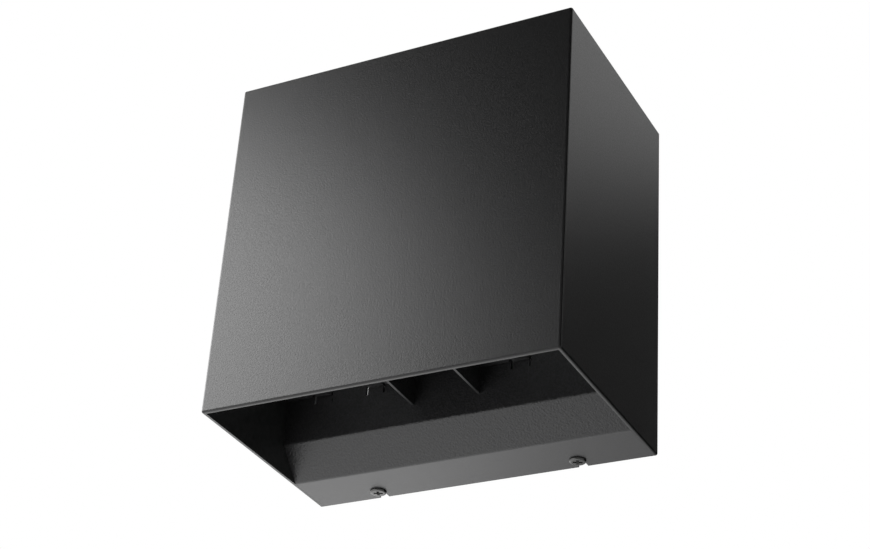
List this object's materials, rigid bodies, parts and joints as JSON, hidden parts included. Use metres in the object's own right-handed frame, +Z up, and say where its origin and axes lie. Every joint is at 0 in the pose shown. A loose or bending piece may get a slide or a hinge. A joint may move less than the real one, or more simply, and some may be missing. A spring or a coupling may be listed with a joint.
{
  "type": "outdoor wall light",
  "caption": "Square black box wall light shining down from a recessed well, with twist-lock reflector lamps inside, hung on a hidden wall bracket and clamped by screws below.",
  "frame": {"origin": "middle of the wall bracket's two fixing slots, on the wall plane", "axes": "+Z up, +Y into the wall, +X to the right as seen from the room"},
  "size_m": [0.15, 0.0925, 0.1519],
  "materials": {
    "black_cast": "matte",
    "black_sheet": "matte",
    "zinc_steel": "satin",
    "stainless": "satin",
    "rubber": "matte",
    "foam": "matte",
    "ceramic": "matte",
    "lamp_white": "satin",
    "lamp_lens": "satin",
    "lamp_base": "matte",
    "nickel": "satin",
    "brass": "satin",
    "terminal_white": "matte",
    "lead_brown": "satin",
    "lead_blue": "satin",
    "lead_green": "satin"
  },
  "bodies": {
    "bracket": {"wall_bracket": "zinc_steel", "weld_nuts": "zinc_steel", "cable_grommet": "rubber"},
    "housing": {"housing_shell": "black_cast", "gear_tray": "black_sheet", "right_baffle": "black_sheet", "left_baffle": "black_sheet", "lampholder_shelf": "zinc_steel", "lead_grommet": "rubber", "wall_gasket": "foam", "terminal_block": "terminal_white", "terminal_barrels": "brass", "terminal_screws": "zinc_steel", "terminal_fixing_screws": "zinc_steel", "tray_screws": "zinc_steel", "shelf_screws": "zinc_steel", "baffle_screws": "zinc_steel", "holder_screws": "zinc_steel", "live_leads": "lead_brown", "neutral_leads": "lead_blue", "earth_ring": "nickel", "earth_lead": "lead_green", "earth_screw": "brass", "left_lampholder": "ceramic", "right_lampholder": "ceramic"},
    "left_screw": {"left_fixing_screw": "stainless"},
    "left_lamp": {"left_lamp_reflector": "lamp_white", "left_lamp_lens": "lamp_lens", "left_lamp_base": "lamp_base", "left_lamp_pins": "nickel"},
    "right_screw": {"right_fixing_screw": "stainless"},
    "right_lamp": {"right_lamp_reflector": "lamp_white", "right_lamp_lens": "lamp_lens", "right_lamp_base": "lamp_base", "right_lamp_pins": "nickel"}
  },
  "joints": [
    {"name": "housing_lift_off", "type": "slide", "parent": "bracket", "child": "housing", "axis": [0, -1, 0], "range_m": [0, 0.06]},
    {"name": "left_screw_turn", "type": "hinge", "parent": "bracket", "child": "left_screw", "pos_m": [-0.0442, -0.006, -0.0755], "axis": [0, 0, -1], "range_deg": [0, 720]},
    {"name": "left_lamp_twist", "type": "hinge", "parent": "housing", "child": "left_lamp", "pos_m": [-0.0442, -0.0615, 0.007], "axis": [0, 0, -1], "range_deg": [0, 40]},
    {"name": "right_screw_turn", "type": "hinge", "parent": "bracket", "child": "right_screw", "pos_m": [0.0442, -0.006, -0.0755], "axis": [0, 0, -1], "range_deg": [0, 720]},
    {"name": "right_lamp_twist", "type": "hinge", "parent": "housing", "child": "right_lamp", "pos_m": [0.0442, -0.0615, 0.007], "axis": [0, 0, -1], "range_deg": [0, 40]}
  ]
}
